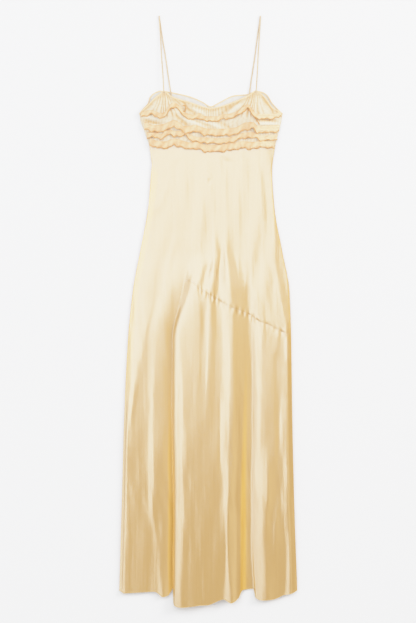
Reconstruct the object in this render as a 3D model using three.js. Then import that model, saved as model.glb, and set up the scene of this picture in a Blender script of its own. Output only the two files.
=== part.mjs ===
// A slip-style maxi dress laid out flat on its back, in millimetres: +X to the right, +Y towards the
// strap tips, +Z up from the surface it lies on.
//
// Every piece is a cloth wall made from the surface of its right side. The two back panels lie flat on
// the surface, and the front panels lie over them, touching in the troughs and standing clear under the
// folds. The skirt front is drawn by its fold lines: each line is one crest, trough or flank that runs
// from the empire seam to the hem, with its place across the dress and its height at eight levels.
import * as THREE from "three";

// ---- driving sizes ----
const LENGTH = 1480; // strap tip to the lowest point of the hem
const CLOTH = 1.2; // wall of every panel
const GAP = 0.3; // left between pieces at a seam
const WAIST_Y = 416; // empire seam, where the skirt is sewn to the bodice
const STRAP_WIDTH = 3.4;
const STRAP_THICK = 1.6;
const BODICE_LIE = 5.4; // height of the bodice's right side where it lies flattest
const CUP_HEIGHT = 13; // rise of a cup over that
const EDGE_ROUND = 9; // distance over which a front panel turns down to its side seam
const FRONT_FLOOR = CLOTH + GAP; // lowest that a front panel may reach

// ---- small curve helpers ----
// Monotone cubic through (xs[i], ys[i]), flat at every local high or low, so it never overshoots.
function smoothLine(xs, ys) {
  const n = xs.length;
  const slope = xs.slice(1).map((x, i) => (ys[i + 1] - ys[i]) / (x - xs[i]));
  const tangent = xs.map((_, i) => {
    if (i === 0) return slope[0];
    if (i === n - 1) return slope[n - 2];
    if (slope[i - 1] * slope[i] <= 0) return 0;
    return (2 * slope[i - 1] * slope[i]) / (slope[i - 1] + slope[i]);
  });
  return (x) => {
    const at = Math.min(Math.max(x, xs[0]), xs[n - 1]);
    let i = 0;
    while (i < n - 2 && at > xs[i + 1]) i += 1;
    const h = xs[i + 1] - xs[i];
    const t = (at - xs[i]) / h;
    const t2 = t * t;
    const t3 = t2 * t;
    return (
      (2 * t3 - 3 * t2 + 1) * ys[i] +
      (t3 - 2 * t2 + t) * h * tangent[i] +
      (3 * t2 - 2 * t3) * ys[i + 1] +
      (t3 - t2) * h * tangent[i + 1]
    );
  };
}

// The same, from rows of named columns.
function lineOf(rows, along, value) {
  const sorted = [...rows].sort((a, b) => a[along] - b[along]);
  return smoothLine(
    sorted.map((r) => r[along]),
    sorted.map((r) => r[value]),
  );
}

const mix = (a, b, t) => a + (b - a) * t;
const bump = (d, width) => Math.exp(-((d / width) ** 2));

// ---- the closed wall of a sheet ----
// face[j][i] is a point of the right side and back[j][i] the one behind it. keep(j, i) says which cells
// of the grid are cloth. Rows run down the dress and columns run to the right.
function wall(face, back, keep = () => true) {
  const rows = face.length;
  const columns = face[0].length;
  const position = [...face.flat(), ...back.flat()].flatMap((p) => [p.x, p.y, p.z]);
  const front = (j, i) => j * columns + i;
  const behind = (v) => v + rows * columns;
  const faces = [];
  for (let j = 0; j < rows - 1; j += 1) {
    for (let i = 0; i < columns - 1; i += 1) {
      if (!keep(j, i)) continue;
      const [a, b] = [front(j, i), front(j + 1, i)];
      const [c, d] = [front(j + 1, i + 1), front(j, i + 1)];
      faces.push([a, b, c], [a, c, d]);
    }
  }
  const directed = new Set();
  faces.forEach((f) => f.forEach((v, k) => directed.add(`${v},${f[(k + 1) % 3]}`)));
  const rims = [];
  faces.forEach((f) =>
    f.forEach((v, k) => {
      const w = f[(k + 1) % 3];
      if (directed.has(`${w},${v}`)) return;
      rims.push([v, behind(v), behind(w)], [v, behind(w), w]);
    }),
  );
  const insides = faces.map(([a, b, c]) => [behind(a), behind(c), behind(b)]);
  const geometry = new THREE.BufferGeometry();
  geometry.setAttribute("position", new THREE.Float32BufferAttribute(position, 3));
  geometry.setIndex([...faces, ...insides, ...rims].flat());
  geometry.computeVertexNormals();
  return geometry;
}

// Normals of a grid of points, out of the right side.
function normalsOf(points) {
  const rows = points.length;
  const columns = points[0].length;
  return points.map((row, j) =>
    row.map((_, i) => {
      const down = points[Math.min(j + 1, rows - 1)][i]
        .clone()
        .sub(points[Math.max(j - 1, 0)][i]);
      const across = points[j][Math.min(i + 1, columns - 1)]
        .clone()
        .sub(points[j][Math.max(i - 1, 0)]);
      return down.cross(across).normalize();
    }),
  );
}

// A front panel: its right side, with relief(j, i) raised over it, and a plain inside.
function frontWall(plain, { relief = () => 0, keep, thick = CLOTH, normals = normalsOf(plain) } = {}) {
  const moved = (j, i, by) => plain[j][i].clone().addScaledVector(normals[j][i], by);
  const face = plain.map((row, j) => row.map((_, i) => moved(j, i, relief(j, i))));
  const back = plain.map((row, j) =>
    row.map((_, i) => {
      const p = moved(j, i, -thick);
      p.z = Math.max(p.z, FRONT_FLOOR);
      return p;
    }),
  );
  return wall(face, back, keep);
}

// A back panel: flat on the surface, with the grid's outline.
function flatWall(outline) {
  const at = (z) => outline.map((row) => row.map((p) => new THREE.Vector3(p.x, p.y, z)));
  return wall(at(CLOTH), at(0));
}

// ---- the outline: half of what is seen from above ----
const SIDES = [
  { name: "underarm", y: 494, left: -172.5, right: 186 },
  { name: "bust", y: 474, left: -169, right: 183 },
  { name: "under bust", y: 446, left: -158.5, right: 176 },
  { name: "empire seam", y: 408, left: -147, right: 167 },
  { name: "waist", y: 350, left: -141, right: 160 },
  { name: "above hip", y: 256, left: -151, right: 166 },
  { name: "high hip", y: 151, left: -170.5, right: 185 },
  { name: "hip", y: 51, left: -189, right: 203 },
  { name: "thigh", y: -74, left: -201.5, right: 207.5 },
  { name: "knee", y: -274, left: -211, right: 210.5 },
  { name: "calf", y: -474, left: -216.5, right: 215 },
  { name: "hem", y: -706, left: -223, right: 223 },
];
const leftAt = lineOf(SIDES, "y", "left");
const rightAt = lineOf(SIDES, "y", "right");

// ---- the fold lines of the skirt front ----
// x and z are at these levels, and hem is where the line ends.
const LEVELS = [WAIST_Y, 151, 51, -74, -274, -474, -600, -706];
const FOLDS = [
  {
    name: "left rounding", hem: -703,
    x: [-138, -161, -180, -194, -206, -211, -214, -217],
    z: [5.2, 6, 7.2, 7.5, 8, 8.5, 8.5, 8],
  },
  {
    name: "left shoulder", hem: -706,
    x: [-128, -145.5, -145.5, -163, -199.5, -204.5, -208, -209.5],
    z: [5.5, 6.8, 9.5, 12.5, 12.4, 12.4, 12.4, 12],
  },
  {
    name: "left dip", hem: -702,
    x: [-110.5, -120.5, -125.5, -150, -155, -153, -139, -136],
    z: [5, 6, 8.5, 11, 8.8, 8.6, 9.6, 9],
  },
  {
    name: "left crest", hem: -715,
    x: [-90.5, -100.5, -108, -131, -134, -137, -119, -114],
    z: [5, 6.2, 10, 13.5, 14.2, 13.6, 11, 13.4],
  },
  {
    name: "left brink", hem: -712,
    x: [-73, -78, -86, -101, -100, -98, -98, -99],
    z: [5, 5.8, 9.8, 9.6, 8, 8, 8, 9],
  },
  {
    name: "left valley", hem: -694,
    x: [-55.5, -50, -64, -87.5, -88.5, -85, -86, -87],
    z: [5, 5.6, 7, 4.6, 3.6, 3.2, 3.2, 3.2],
  },
  {
    name: "middle lobe, foot", hem: -730,
    x: [-48, -40, -56, -83.5, -84.5, -81.5, -82.5, -83.5],
    z: [5, 5.8, 8.2, 8.2, 9, 9.5, 10, 11],
  },
  {
    name: "middle lobe, flank", hem: -737,
    x: [-40.5, -30, -47, -77.5, -78.5, -76, -77.5, -79.5],
    z: [5, 6.2, 12, 14.5, 15.5, 16, 17, 18.5],
  },
  {
    name: "middle lobe, brow", hem: -740,
    x: [-30.5, -17, -29, -40, -54, -60.5, -62, -64],
    z: [5, 7, 20.5, 21.5, 22, 22, 22.5, 23.5],
  },
  {
    name: "first dip", hem: -735,
    x: [-8, 8, -7, -8, -15.5, -20.5, -20.5, -20.5],
    z: [5, 6, 15.5, 17, 19.4, 20.6, 21, 21.5],
  },
  {
    name: "first crest", hem: -734,
    x: [4.5, 17, 8, 4.5, -0.5, -0.5, -0.5, -0.5],
    z: [5, 8.4, 19.8, 21, 20.2, 20.2, 20.4, 21],
  },
  {
    name: "second dip", hem: -720,
    x: [19.5, 29, 26, 29.5, 28, 35.5, 42, 37],
    z: [5, 5.2, 12, 13.8, 15.6, 17.6, 19.4, 19],
  },
  {
    name: "second crest", hem: -729,
    x: [34.5, 46, 52, 55, 53.5, 49.5, 50, 57],
    z: [5, 8.8, 20, 22, 22.2, 22, 20.6, 22.5],
  },
  {
    name: "second crest, brink", hem: -718,
    x: [49.5, 62, 71, 75, 73.5, 70, 70, 74.5],
    z: [5, 6, 13.2, 15.4, 16, 16, 16, 16.5],
  },
  {
    name: "right valley", hem: -699,
    x: [62, 74, 86, 93, 90, 86, 86, 86],
    z: [5, 5.6, 9.4, 10.6, 8.5, 7.5, 7, 7],
  },
  {
    name: "right valley, far side", hem: -695,
    x: [74.5, 82, 97, 107, 108, 105, 107, 113],
    z: [5, 5.6, 7.4, 6.5, 3.6, 3.4, 3.4, 3.4],
  },
  {
    name: "right lobe, foot", hem: -717,
    x: [87, 94.5, 107, 114.5, 115, 113, 114, 119],
    z: [5, 6, 8.4, 8.5, 6.8, 6.8, 7, 9],
  },
  {
    name: "right lobe, brow", hem: -723,
    x: [102, 112, 122, 133, 138, 136, 136, 137],
    z: [5, 7, 10.5, 14.5, 15, 15.2, 15.5, 16.5],
  },
  {
    name: "right slope", hem: -721,
    x: [117, 134.5, 147, 154.5, 159.5, 159.5, 161, 162],
    z: [5, 6.5, 9.8, 13, 13.8, 13.8, 14, 14.5],
  },
  {
    name: "right dip", hem: -710,
    x: [129.5, 149.5, 164.5, 179, 179, 181, 192, 189.5],
    z: [5, 6, 9, 11.5, 11.6, 11.6, 12.2, 11.5],
  },
  {
    name: "right crest", hem: -707,
    x: [142, 162, 177, 195.5, 197, 198, 204, 205.5],
    z: [5.2, 6.5, 9.5, 14, 14.8, 14.4, 13.6, 15],
  },
  {
    name: "right shoulder", hem: -704,
    x: [154.5, 173, 189.5, 202, 204.5, 207, 211, 214.5],
    z: [4.6, 5.4, 7.6, 10.4, 10.8, 10.8, 10.6, 9.6],
  },
];
const SIDE_HEM = { left: -699, right: -699 };
const LEFT_VALLEY = FOLDS.findIndex((f) => f.name === "left valley") + 2; // its column line

const foldX = FOLDS.map((f) => smoothLine([...LEVELS].reverse(), [...f.x].reverse()));
const foldZ = FOLDS.map((f) => smoothLine([...LEVELS].reverse(), [...f.z].reverse()));

// All lines across the skirt at height y of the dress: the side seam's rim, the side's turn, the fold
// lines, and the other side's turn and rim.
const RIM_Z = 2.7;
const RIM_IN = 1.2; // the rim is tucked under the turn by this much
function linesAt(y) {
  const zs = foldZ.map((f) => f(y));
  const turn = (z) => mix(RIM_Z, z, 0.5);
  return {
    x: [leftAt(y) + RIM_IN, leftAt(y), ...foldX.map((f) => f(y)), rightAt(y), rightAt(y) - RIM_IN],
    z: [RIM_Z, turn(zs[0]), ...zs, turn(zs[zs.length - 1]), RIM_Z],
  };
}
const LINE_COUNT = FOLDS.length + 4;
const LINE_INDEX = [...Array(LINE_COUNT).keys()];
const hemAt = smoothLine(LINE_INDEX, [
  SIDE_HEM.left, SIDE_HEM.left, ...FOLDS.map((f) => f.hem), SIDE_HEM.right, SIDE_HEM.right,
]);

// The point of the skirt front on line u (a real number) at height y of the dress. Its height is softened
// with those a little to either side, except by the side seams.
const SOFT_REACH = 0.45; // in steps between fold lines
const SOFT_SHARE = 0.6;
function skirtPoint(u, y) {
  const { x, z } = linesAt(y);
  const height = smoothLine(LINE_INDEX, z);
  const beside = (height(u - SOFT_REACH) + height(u + SOFT_REACH)) / 2;
  const fromRim = Math.min(Math.max(Math.min(u, LINE_COUNT - 1 - u) - 1, 0), 1);
  const soft = mix(height(u), beside, SOFT_SHARE * fromRim);
  return new THREE.Vector3(smoothLine(LINE_INDEX, x)(u), y, soft);
}

// Its normal there. Both sides of a seam share it, so their walls stay apart.
function skirtNormal(u, y) {
  const across = skirtPoint(u + 0.1, y).sub(skirtPoint(u - 0.1, y));
  const down = skirtPoint(u, y - 2).sub(skirtPoint(u, y + 2));
  return down.cross(across).normalize();
}

// The wall of a skirt piece whose grid point (j, i) is on line place(j, i).u at height place(j, i).y.
function skirtWall(rows, us, place, keep) {
  const places = [...Array(rows + 1).keys()].map((j) => us.map((u) => place(j, u)));
  const grid = places.map((row) => row.map(({ u, y }) => skirtPoint(u, y)));
  const normals = places.map((row) => row.map(({ u, y }) => skirtNormal(u, y)));
  return frontWall(grid, { normals, keep });
}

// The slanting seam where the flared inset is set into the main panel.
const INSET_SEAM = [
  { x: -45, y: 77 },
  { x: -35.5, y: 70 },
  { x: -13, y: 50 },
  { x: 12, y: 35 },
  { x: 64.5, y: 6 },
  { x: 105.5, y: -10 },
  { x: 127, y: -25 },
  { x: 155.5, y: -36 },
  { x: 180.5, y: -50 },
  { x: 208, y: -57.5 },
];
const insetSeamY = lineOf(INSET_SEAM, "x", "y");
function seamAt(u) {
  let y = INSET_SEAM[0].y;
  for (let step = 0; step < 12; step += 1) y = insetSeamY(skirtPoint(u, y).x);
  return y;
}

// ---- skirt pieces ----
const COLUMNS_PER_LINE = 3;
const UPPER_ROWS = 9;
const LOWER_ROWS = 14;
const SEAM_HALF = 0.32; // half of the seam's gap, down the dress
const VALLEY_HALF = 0.05; // half of the gap along the valley, in steps between fold lines
const columnsFrom = (first, last) => {
  const count = (last - first) * COLUMNS_PER_LINE;
  return [...Array(count + 1).keys()].map((k) => first + k / COLUMNS_PER_LINE);
};

// Above the seam it spans the dress. Below, it is only what lies left of the valley.
function skirtFrontMain() {
  const us = columnsFrom(0, LINE_COUNT - 1);
  const place = (j, u) => {
    const seam = seamAt(Math.max(u, LEFT_VALLEY)) + SEAM_HALF;
    if (j <= UPPER_ROWS) return { u, y: mix(WAIST_Y - GAP, seam, j / UPPER_ROWS) };
    const y = mix(seam, hemAt(u), (j - UPPER_ROWS) / LOWER_ROWS);
    return { u: Math.min(u, LEFT_VALLEY - VALLEY_HALF), y };
  };
  const keep = (j, i) => j < UPPER_ROWS || us[i + 1] <= LEFT_VALLEY;
  return skirtWall(UPPER_ROWS + LOWER_ROWS, us, place, keep);
}

function skirtFrontInset() {
  const place = (j, u) => ({
    u: Math.max(u, LEFT_VALLEY + VALLEY_HALF),
    y: mix(seamAt(u) - SEAM_HALF, hemAt(u), j / LOWER_ROWS),
  });
  return skirtWall(LOWER_ROWS, columnsFrom(LEFT_VALLEY, LINE_COUNT - 1), place);
}

const BACK_HEM = { side: -697, middle: -690 };
function skirtBack() {
  const columns = 10;
  const rows = 16;
  const grid = [];
  for (let j = 0; j <= rows; j += 1) {
    const row = [];
    for (let i = 0; i <= columns; i += 1) {
      const t = i / columns;
      const hem = mix(BACK_HEM.side, BACK_HEM.middle, Math.sin(Math.PI * t) ** 0.7);
      const y = mix(WAIST_Y, hem, j / rows);
      row.push(new THREE.Vector3(mix(leftAt(y), rightAt(y), t), y, 0));
    }
    grid.push(row);
  }
  return flatWall(grid);
}

// ---- bodice ----
const NECKLINE = [
  { name: "left underarm", x: -172.5, front: 494, back: 494 },
  { name: "left armhole, low", x: -163, front: 504, back: 506.5 },
  { name: "left armhole", x: -150, front: 515, back: 521 },
  { name: "left armhole corner", x: -145.5, front: 520, back: 536 },
  { name: "left armhole top", x: -134, front: 532, back: 546.5 },
  { name: "left of peak", x: -121, front: 542.5, back: 551.5 },
  { name: "left peak", x: -110, front: 550, back: 550.5 },
  { name: "left of neck", x: -91, front: 536, back: 547.5 },
  { name: "left neck slope", x: -46, front: 522.5, back: 537 },
  { name: "beside the dip, left", x: -15, front: 512, back: 524 },
  { name: "centre dip", x: 6, front: 507.5, back: 512.5 },
  { name: "beside the dip, right", x: 27, front: 511, back: 522 },
  { name: "right neck slope", x: 66, front: 524, back: 540 },
  { name: "right of neck", x: 99, front: 538, back: 543 },
  { name: "right peak", x: 119.5, front: 551, back: 550.5 },
  { name: "right of peak", x: 133, front: 543, back: 549 },
  { name: "right armhole top", x: 147, front: 528, back: 541 },
  { name: "right armhole", x: 159, front: 510.5, back: 522 },
  { name: "right armhole, low", x: 172, front: 502, back: 507.5 },
  { name: "right underarm", x: 186, front: 494, back: 494 },
];
const frontNeck = lineOf(NECKLINE, "x", "front");
const backNeck = lineOf(NECKLINE, "x", "back");
const CUPS = [
  { x: -104, y: 492, wide: 42, tall: 38 },
  { x: 104, y: 494, wide: 42, tall: 38 },
];
const PRINCESS_SEAM = { left: 0.228, right: 0.76 }; // share of the width from the left side

// Height of the bodice's right side, without its gathers.
function bodiceHeight(x, y) {
  const fromSide = Math.max(0, Math.min(x - leftAt(y), rightAt(y) - x, EDGE_ROUND));
  const round = Math.sqrt(1 - (1 - fromSide / EDGE_ROUND) ** 2);
  const cups = CUPS.map((c) => CUP_HEIGHT * bump(x - c.x, c.wide) * bump(y - c.y, c.tall));
  return mix(RIM_Z, BODICE_LIE + Math.max(...cups), round);
}

// A point at share t of the width and share s of the height, from the seam up to the neckline.
function bodicePoint(t, s, neck) {
  const underarm = SIDES[0].y;
  const x = mix(leftAt(underarm), rightAt(underarm), t);
  const y = mix(WAIST_Y + GAP, neck(x), s);
  const across = mix(leftAt(y), rightAt(y), t);
  return new THREE.Vector3(across, y, bodiceHeight(across, y));
}

// Gathers fan up from under the bust to the neckline.
const GATHER_RISE = 1.3;
const GATHER_FROM = 0.45; // share of the height where they start
const GATHER_GROWTH = 0.25; // share of the height over which they reach their full rise
const gatherAt = (s) => GATHER_RISE * Math.min(1, Math.max(0, (s - GATHER_FROM) / GATHER_GROWTH));
const BODICE_ROWS = 8;
function bodiceFront(from, to, gathers) {
  const columns = gathers * 2;
  const inset = 0.0006; // half a seam's gap, as a share of the width
  const grid = [];
  for (let j = 0; j <= BODICE_ROWS; j += 1) {
    const row = [];
    for (let i = 0; i <= columns; i += 1) {
      const t = mix(from + (from > 0 ? inset : 0), to - (to < 1 ? inset : 0), i / columns);
      row.push(bodicePoint(t, 1 - j / BODICE_ROWS, frontNeck));
    }
    grid.push(row);
  }
  const relief = (j, i) => (i % 2 === 1 ? gatherAt(1 - j / BODICE_ROWS) : 0);
  return frontWall(grid, { relief });
}

function bodiceBack() {
  const columns = 32;
  const rows = 4;
  const grid = [];
  for (let j = 0; j <= rows; j += 1) {
    const row = [];
    for (let i = 0; i <= columns; i += 1) row.push(bodicePoint(i / columns, 1 - j / rows, backNeck));
    grid.push(row);
  }
  return flatWall(grid);
}

// ---- ruffles: strips sewn across the bodice, free along their wavy lower edge ----
// Height of each lower edge at places across the dress.
const RUFFLE_EDGES = [
  { x: -168, bust: 486, second: 457, third: 434, waist: 417 },
  { x: -154, bust: 489, second: 454.5, third: 434, waist: 417 },
  { x: -142, bust: 490.5, second: 449, third: 435.5, waist: 414.5 },
  { x: -130, bust: 486, second: 447.5, third: 434, waist: 409 },
  { x: -119, bust: 482, second: 449, third: 429, waist: 408 },
  { x: -108, bust: 484.5, second: 451, third: 437.5, waist: 407.5 },
  { x: -96, bust: 503, second: 456.5, third: 441, waist: 411.5 },
  { x: -86, bust: 509.5, second: 460, third: 437, waist: 414 },
  { x: -72, bust: 501, second: 454, third: 437.5, waist: 412 },
  { x: -59, bust: 485, second: 445.5, third: 439.5, waist: 407.5 },
  { x: -46, bust: 480.5, second: 446.5, third: 429.5, waist: 405 },
  { x: -34, bust: 479, second: 449, third: 424, waist: 407.5 },
  { x: -22, bust: 483, second: 445.5, third: 422, waist: 403.5 },
  { x: -6, bust: 475, second: 440, third: 421, waist: 399 },
  { x: 8, bust: 475, second: 439.5, third: 420, waist: 399 },
  { x: 22, bust: 475, second: 439, third: 419, waist: 399.5 },
  { x: 36, bust: 480, second: 439, third: 419.5, waist: 400 },
  { x: 53, bust: 481.5, second: 440, third: 421.5, waist: 402.5 },
  { x: 69, bust: 486, second: 442, third: 426, waist: 405 },
  { x: 80, bust: 492.5, second: 447.5, third: 431, waist: 407 },
  { x: 90, bust: 500, second: 453, third: 432.5, waist: 407.5 },
  { x: 98, bust: 505, second: 454, third: 433.5, waist: 407 },
  { x: 112, bust: 489, second: 455, third: 434, waist: 406 },
  { x: 123, bust: 480, second: 446.5, third: 430.5, waist: 408 },
  { x: 134, bust: 480, second: 446, third: 426, waist: 411 },
  { x: 156, bust: 481, second: 447.5, third: 427.5, waist: 408 },
  { x: 182, bust: 487, second: 449, third: 429, waist: 406 },
];
const RUFFLES = [
  { name: "ruffle_1_bust", edge: "bust", from: -168, to: 182, depth: 12, lift: 2.2, waves: 11 },
  { name: "ruffle_2", edge: "second", from: -160, to: 178, depth: 17, lift: 3.4, waves: 12 },
  { name: "ruffle_3", edge: "third", from: -154, to: 173, depth: 13, lift: 2.6, waves: 12 },
  { name: "ruffle_4_hem", edge: "waist", from: -147, to: 166, depth: 17, lift: 2.2, waves: 12 },
];
const RUFFLE_CLOTH = 1;
const RUFFLE_WAVE = 0.9;
const RUFFLE_COLUMNS = 44;
const RUFFLE_ROWS = 3;
function ruffle({ edge, from, to, depth, lift, waves }) {
  const lower = lineOf(RUFFLE_EDGES, "x", edge);
  const grid = [];
  for (let j = 0; j <= RUFFLE_ROWS; j += 1) {
    const down = j / RUFFLE_ROWS;
    const row = [];
    for (let i = 0; i <= RUFFLE_COLUMNS; i += 1) {
      const t = i / RUFFLE_COLUMNS;
      const x = mix(from, to, t);
      const y = lower(x) + depth * (1 - down);
      const wave = RUFFLE_WAVE * Math.sin(2 * Math.PI * waves * t);
      const gathers = gatherAt((y - WAIST_Y) / (frontNeck(x) - WAIST_Y));
      const seat = bodiceHeight(x, Math.max(y, WAIST_Y)) + gathers + 3 * GAP + RUFFLE_CLOTH;
      row.push(new THREE.Vector3(x, y, seat + (lift + wave) * down));
    }
    grid.push(row);
  }
  return frontWall(grid, { thick: RUFFLE_CLOTH });
}

// ---- straps: one narrow rouleau each, from the cup's peak to the tip and back to the back panel ----
const STRAPS = [
  { name: "strap_left", tip: -123, front: { x: -111, y: 546 }, back: { x: -92.5, y: 538 } },
  { name: "strap_right", tip: 130.5, front: { x: 119.5, y: 547 }, back: { x: 101.5, y: 534 } },
];
const TIP_Y = LENGTH / 2;
const LEG_STEPS = 10;
function strap({ tip, front, back }) {
  const half = STRAP_THICK / 2;
  const upper = half * 3 + 0.6; // middle of the front leg where it lies over the back leg
  const turnRadius = (upper - half) / 2;
  const seatFront = bodiceHeight(front.x, front.y) + GATHER_RISE + GAP + half;
  const seatBack = CLOTH + GAP + half;
  const middle = [];
  const turnY = TIP_Y - turnRadius - half;
  for (let k = 0; k <= LEG_STEPS; k += 1) {
    const t = k / LEG_STEPS;
    const z = mix(seatFront, upper, Math.min(1, t * 1.4) ** 0.6);
    middle.push(new THREE.Vector3(mix(front.x, tip, t), mix(front.y, turnY, t), z));
  }
  for (let k = 1; k < 4; k += 1) {
    const angle = Math.PI / 2 - (Math.PI * k) / 4;
    const z = (upper + half) / 2 + turnRadius * Math.sin(angle);
    middle.push(new THREE.Vector3(tip, turnY + turnRadius * Math.cos(angle), z));
  }
  for (let k = 0; k <= LEG_STEPS; k += 1) {
    const t = k / LEG_STEPS;
    const climb = Math.max(0, (t - 0.75) / 0.15);
    const z = mix(half, seatBack, Math.min(1, climb));
    middle.push(new THREE.Vector3(mix(tip, back.x, t), mix(turnY, back.y, t), z));
  }
  return rouleau(middle, STRAP_WIDTH, STRAP_THICK);
}

// A flat tube with eight corners along a line of points; its width stays level.
function rouleau(middle, width, thick) {
  const across = new THREE.Vector3(1, 0, 0);
  const section = [
    [-0.5, -0.2], [-0.35, -0.5], [0.35, -0.5], [0.5, -0.2],
    [0.5, 0.2], [0.35, 0.5], [-0.35, 0.5], [-0.5, 0.2],
  ];
  const rings = middle.map((p, k) => {
    const ahead = middle[Math.min(k + 1, middle.length - 1)]
      .clone()
      .sub(middle[Math.max(k - 1, 0)])
      .normalize();
    const side = across.clone().addScaledVector(ahead, -across.dot(ahead)).normalize();
    const up = side.clone().cross(ahead);
    return section.map(([a, b]) =>
      p.clone().addScaledVector(side, a * width).addScaledVector(up, b * thick),
    );
  });
  const n = section.length;
  const faces = [];
  for (let k = 0; k < rings.length - 1; k += 1) {
    for (let i = 0; i < n; i += 1) {
      const [a, b] = [k * n + i, k * n + ((i + 1) % n)];
      faces.push([a, b + n, b], [a, a + n, b + n]);
    }
  }
  const end = (rings.length - 1) * n;
  for (let i = 1; i < n - 1; i += 1) {
    faces.push([0, i, i + 1], [end, end + i + 1, end + i]);
  }
  const geometry = new THREE.BufferGeometry();
  const position = rings.flat().flatMap((p) => [p.x, p.y, p.z]);
  geometry.setAttribute("position", new THREE.Float32BufferAttribute(position, 3));
  geometry.setIndex(faces.flat());
  geometry.computeVertexNormals();
  return geometry;
}

// ---- materials and assembly ----
const satin = new THREE.MeshStandardMaterial({ color: 0xeedcab, roughness: 0.35, metalness: 0 });
const chiffon = new THREE.MeshStandardMaterial({ color: 0xf0e2be, roughness: 0.8, metalness: 0 });
const ruffleCloth = new THREE.MeshStandardMaterial({ color: 0xefd3a4, roughness: 0.85, metalness: 0 });
const mesh = new THREE.MeshStandardMaterial({ color: 0xece3d2, roughness: 0.9, metalness: 0 });

const dress = new THREE.Group();
function add(name, geometry, material) {
  const piece = new THREE.Mesh(geometry, material);
  piece.name = name;
  dress.add(piece);
}
add("skirt_front_main", skirtFrontMain(), satin);
add("skirt_front_inset", skirtFrontInset(), satin);
add("skirt_back", skirtBack(), satin);
add("bodice_cup_left", bodiceFront(0, PRINCESS_SEAM.left, 9), chiffon);
add("bodice_centre", bodiceFront(PRINCESS_SEAM.left, PRINCESS_SEAM.right, 20), chiffon);
add("bodice_cup_right", bodiceFront(PRINCESS_SEAM.right, 1, 10), chiffon);
add("bodice_back", bodiceBack(), mesh);
RUFFLES.forEach((r) => add(r.name, ruffle(r), ruffleCloth));
STRAPS.forEach((s) => add(s.name, strap(s), satin));

export default dress;
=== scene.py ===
"""A pale butter-yellow satin maxi dress laid out flat: the cloth, its finish, the light and the camera."""

import math

import bpy
import numpy as np
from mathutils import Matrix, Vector


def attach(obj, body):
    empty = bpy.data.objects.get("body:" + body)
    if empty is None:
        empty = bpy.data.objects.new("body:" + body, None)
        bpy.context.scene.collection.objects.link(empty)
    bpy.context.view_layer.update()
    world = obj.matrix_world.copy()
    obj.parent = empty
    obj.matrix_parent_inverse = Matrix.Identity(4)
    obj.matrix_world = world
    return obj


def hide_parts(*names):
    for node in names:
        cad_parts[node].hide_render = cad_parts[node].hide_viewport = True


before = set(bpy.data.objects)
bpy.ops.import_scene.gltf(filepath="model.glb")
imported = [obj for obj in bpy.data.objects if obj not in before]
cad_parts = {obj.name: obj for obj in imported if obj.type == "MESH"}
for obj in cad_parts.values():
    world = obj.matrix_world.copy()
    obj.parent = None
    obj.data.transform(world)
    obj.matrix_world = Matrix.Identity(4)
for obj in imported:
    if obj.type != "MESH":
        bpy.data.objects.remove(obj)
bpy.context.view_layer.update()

# ---- sizes, in millimetres until a mesh is made ----
MM = 0.001
WAIST_Y = 416.0  # the empire seam
SIDE_Y = 494.0  # the top of the side seams
LENGTH = 1480.0  # from strap tip to hem
GAP = 0.3  # between two pieces at a seam
SATIN_THICK, CHIFFON_THICK = 0.5, 0.4  # of the shown cloth
BACK_TOP = 1.2  # top of the back panels
FRONT_FLOOR = BACK_TOP + 0.15  # the front cloth stays over this
RIM_Z, RIM_IN = 2.7, 1.2  # height of the front's side edges, and how far they turn in
BODICE_LIE = 5.4  # height of the bodice front beside its cups
CUP_HEIGHT = 13.0
EDGE_ROUND = 9.0  # width over which the bodice rounds down at its sides


# ---- curves ----
def tangents(xs, ys):
    """Slopes of a monotone cubic through the points, along the last axis of ys."""
    slope = np.diff(ys, axis=-1) / np.diff(xs)
    a, b = slope[..., :-1], slope[..., 1:]
    with np.errstate(divide="ignore", invalid="ignore"):
        inner = np.where(a * b > 0, 2 * a * b / (a + b), 0.0)
    return np.concatenate([slope[..., :1], inner, slope[..., -1:]], axis=-1)


def hermite(x0, x1, y0, y1, m0, m1, x):
    """The cubic from (x0, y0) to (x1, y1) with slopes m0 and m1 there."""
    h = x1 - x0
    t = (x - x0) / h
    return ((2 * t**3 - 3 * t**2 + 1) * y0 + (t**3 - 2 * t**2 + t) * h * m0
            + (3 * t**2 - 2 * t**3) * y1 + (t**3 - t**2) * h * m1)


def smooth_line(xs, ys):
    """A function of x: the monotone cubic through the points, held level past both ends."""
    order = np.argsort(xs)
    xs, ys = np.asarray(xs, float)[order], np.asarray(ys, float)[order]
    m = tangents(xs, ys)

    def at(x):
        x = np.clip(np.asarray(x, float), xs[0], xs[-1])
        i = np.clip(np.searchsorted(xs, x, side="right") - 1, 0, len(xs) - 2)
        return hermite(xs[i], xs[i + 1], ys[i], ys[i + 1], m[i], m[i + 1], x)

    return at


def mix(a, b, t):
    return a + (b - a) * t


def bump(d, width):
    """1 at d = 0, falling softly to 0 over a few widths."""
    return np.exp(-((d / width) ** 2))


def smoothstep(a, b, x):
    """Rises softly from 0 at x = a to 1 at x = b."""
    t = np.clip((x - a) / (b - a), 0, 1)
    return t * t * (3 - 2 * t)


# ---- outline of the dress, as in the solids ----
SIDES = [  # y, left, right
    (494, -172.5, 186), (474, -169, 183), (446, -158.5, 176), (408, -147, 167),
    (350, -141, 160), (256, -151, 166), (151, -170.5, 185), (51, -189, 203),
    (-74, -201.5, 207.5), (-274, -211, 210.5), (-474, -216.5, 215), (-706, -223, 223),
]
left_at = smooth_line([r[0] for r in SIDES], [r[1] for r in SIDES])
right_at = smooth_line([r[0] for r in SIDES], [r[2] for r in SIDES])

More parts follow.
